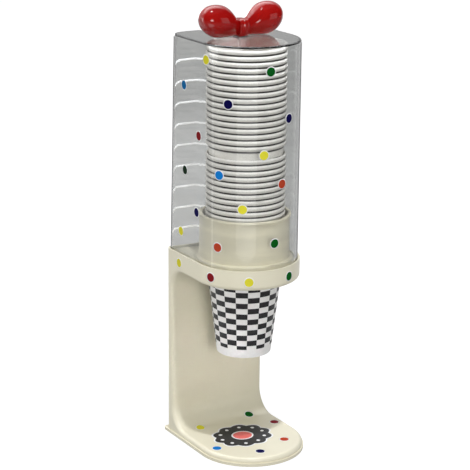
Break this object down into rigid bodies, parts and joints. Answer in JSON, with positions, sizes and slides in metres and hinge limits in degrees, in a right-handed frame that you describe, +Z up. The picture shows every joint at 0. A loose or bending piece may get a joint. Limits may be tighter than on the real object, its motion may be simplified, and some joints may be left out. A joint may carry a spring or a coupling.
{
  "type": "cup dispenser",
  "caption": "Countertop paper cup dispenser: C-shaped stand with collar, nested cups under a tall clear lift-off cover with a bow knob, lowest cup hanging to pull.",
  "frame": {"origin": "on the floor, under the axis of the cups, at the middle of the base", "axes": "+Z up, -Y the front, where the cups are taken out, +X to the viewer's right"},
  "size_m": [0.105, 0.129, 0.4284],
  "materials": {
    "ivory_plastic": "moulded, soft gloss",
    "sleeve_plastic": "moulded, soft gloss",
    "clear_plastic": "clear, polished",
    "red_plastic": "high gloss",
    "clip_plastic": "plain moulded",
    "grip_rubber": "soft, matt",
    "foot_rubber": "matt",
    "cup_paper": "coated paper with a black and white checkerboard print",
    "nested_cup_paper": "coated paper, nested cups with the air between them"
  },
  "bodies": {
    "stand": {"stand": "ivory_plastic", "base_plate": "ivory_plastic", "foot_front_left": "foot_rubber", "foot_front_right": "foot_rubber", "foot_rear_left": "foot_rubber", "foot_rear_right": "foot_rubber", "column_back_cover": "ivory_plastic", "cup_sleeve": "sleeve_plastic", "grip_ring": "grip_rubber"},
    "cover": {"clear_cover": "clear_plastic", "bow_knob": "red_plastic", "bow_clip": "clip_plastic"},
    "lowest_cup": {"hanging_cup": "cup_paper"},
    "stack": {"lower_cup_stack": "nested_cup_paper", "upper_cup_stack": "nested_cup_paper"}
  },
  "joints": [
    {"name": "cover_lift", "type": "slide", "parent": "stand", "child": "cover", "axis": [0, 0, 1], "range_m": [0, 0.22]},
    {"name": "cup_pull", "type": "slide", "parent": "stand", "child": "lowest_cup", "axis": [0, 0, -1], "range_m": [0, 0.08], "deforming": ["grip_ring"]},
    {"name": "stack_drop", "type": "slide", "parent": "stand", "child": "stack", "axis": [0, 0, -1], "range_m": [0, 0.0055]}
  ],
  "couplings": [
    {"joint": "stack_drop", "follows": "cup_pull", "ratio": 0.06875}
  ]
}
